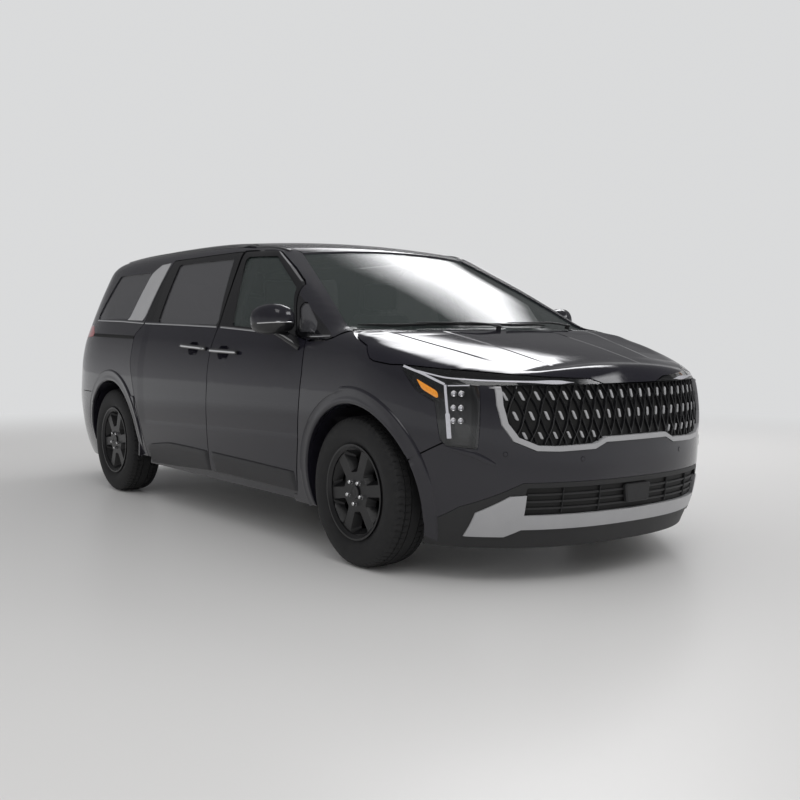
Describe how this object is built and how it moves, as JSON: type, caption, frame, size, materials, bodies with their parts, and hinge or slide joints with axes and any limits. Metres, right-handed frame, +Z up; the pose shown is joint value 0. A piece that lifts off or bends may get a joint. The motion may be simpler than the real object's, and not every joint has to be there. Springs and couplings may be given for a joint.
{
  "type": "minivan",
  "caption": "Seven-seat minivan with steered front wheels, two swinging front doors, rear side doors, a rising tailgate, a lifting bonnet and a hollow cabin.",
  "frame": {"origin": "on the ground, under the middle of the body", "axes": "+X forward, +Y to the vehicle's left, +Z up"},
  "size_m": [5.1576, 2.3, 1.7401],
  "materials": {
    "paint": "gloss",
    "black_gloss": "gloss",
    "dark_plastic": "matte",
    "satin_silver": "satin",
    "lamp_lens": "gloss",
    "red_lens": "gloss",
    "clear_glass": "gloss",
    "tinted_glass": "gloss",
    "seat_cloth": "matte",
    "underbody": "matte",
    "cast_metal": "matte",
    "steel": "satin",
    "wheel_black": "gloss",
    "tyre_rubber": "matte"
  },
  "bodies": {
    "body": {"body_side_left": "paint", "body_side_right": "paint", "roof_panel": "paint", "floor_pan": "underbody", "cowl_panel": "dark_plastic", "fender_left": "paint", "fender_right": "paint", "front_bumper": "paint", "front_valance": "dark_plastic", "skid_trim": "satin_silver", "upper_grille": "black_gloss", "grille_surround": "satin_silver", "lower_grille": "black_gloss", "headlamps": "lamp_lens", "windshield": "clear_glass", "side_glass": "tinted_glass", "sliding_door_left": "paint", "sliding_door_right": "paint", "rear_bumper": "paint", "tail_lamps": "red_lens", "front_seats": "seat_cloth", "middle_seats": "seat_cloth", "rear_seats": "seat_cloth", "dashboard": "dark_plastic", "steering_wheel": "dark_plastic", "engine_block": "cast_metal", "front_frame": "steel", "rear_axle": "steel", "exhaust": "steel", "fuel_tank": "dark_plastic"},
    "hood": {"hood": "paint"},
    "tailgate": {"tailgate": "paint", "tailgate_glass": "tinted_glass", "tailgate_lamps": "red_lens"},
    "front_door_left": {"front_door_left": "paint", "front_door_glass_left": "clear_glass", "mirror_left": "black_gloss"},
    "knuckle_left": {"knuckle_left": "cast_metal"},
    "wheel_front_left": {"wheel_front_left": "wheel_black", "tyre_front_left": "tyre_rubber"},
    "wheel_rear_left": {"wheel_rear_left": "wheel_black", "tyre_rear_left": "tyre_rubber"},
    "front_door_right": {"front_door_right": "paint", "front_door_glass_right": "clear_glass", "mirror_right": "black_gloss"},
    "knuckle_right": {"knuckle_right": "cast_metal"},
    "wheel_front_right": {"wheel_front_right": "wheel_black", "tyre_front_right": "tyre_rubber"},
    "wheel_rear_right": {"wheel_rear_right": "wheel_black", "tyre_rear_right": "tyre_rubber"}
  },
  "joints": [
    {"name": "front_door_left_swing", "type": "hinge", "parent": "body", "child": "front_door_left", "pos_m": [1.09495, 0.96508, 0.74], "axis": [0, 0, -1], "range_deg": [0, 65]},
    {"name": "steer_left", "type": "hinge", "parent": "body", "child": "knuckle_left", "pos_m": [1.6425, 0.8, 0.368], "axis": [0, 0, 1], "range_deg": [-35, 35]},
    {"name": "wheel_front_left_spin", "type": "hinge", "parent": "knuckle_left", "child": "wheel_front_left", "pos_m": [1.6425, 0.87, 0.368], "axis": [0, 1, 0], "continuous": true},
    {"name": "wheel_rear_left_spin", "type": "hinge", "parent": "body", "child": "wheel_rear_left", "pos_m": [-1.4475, 0.87, 0.368], "axis": [0, 1, 0], "continuous": true},
    {"name": "front_door_right_swing", "type": "hinge", "parent": "body", "child": "front_door_right", "pos_m": [1.09495, -0.96508, 0.74], "axis": [0, 0, 1], "range_deg": [0, 65]},
    {"name": "steer_right", "type": "hinge", "parent": "body", "child": "knuckle_right", "pos_m": [1.6425, -0.8, 0.368], "axis": [0, 0, 1], "range_deg": [-35, 35]},
    {"name": "wheel_front_right_spin", "type": "hinge", "parent": "knuckle_right", "child": "wheel_front_right", "pos_m": [1.6425, -0.87, 0.368], "axis": [0, 1, 0], "continuous": true},
    {"name": "wheel_rear_right_spin", "type": "hinge", "parent": "body", "child": "wheel_rear_right", "pos_m": [-1.4475, -0.87, 0.368], "axis": [0, 1, 0], "continuous": true},
    {"name": "hood_lift", "type": "hinge", "parent": "body", "child": "hood", "pos_m": [1.497, 0, 1.128], "axis": [0, -1, 0], "range_deg": [0, 50]},
    {"name": "tailgate_lift", "type": "hinge", "parent": "body", "child": "tailgate", "pos_m": [-2.1699, 0, 1.655], "axis": [0, 1, 0], "range_deg": [0, 85]}
  ],
  "couplings": [
    {"joint": "steer_right", "follows": "steer_left", "ratio": 1}
  ]
}
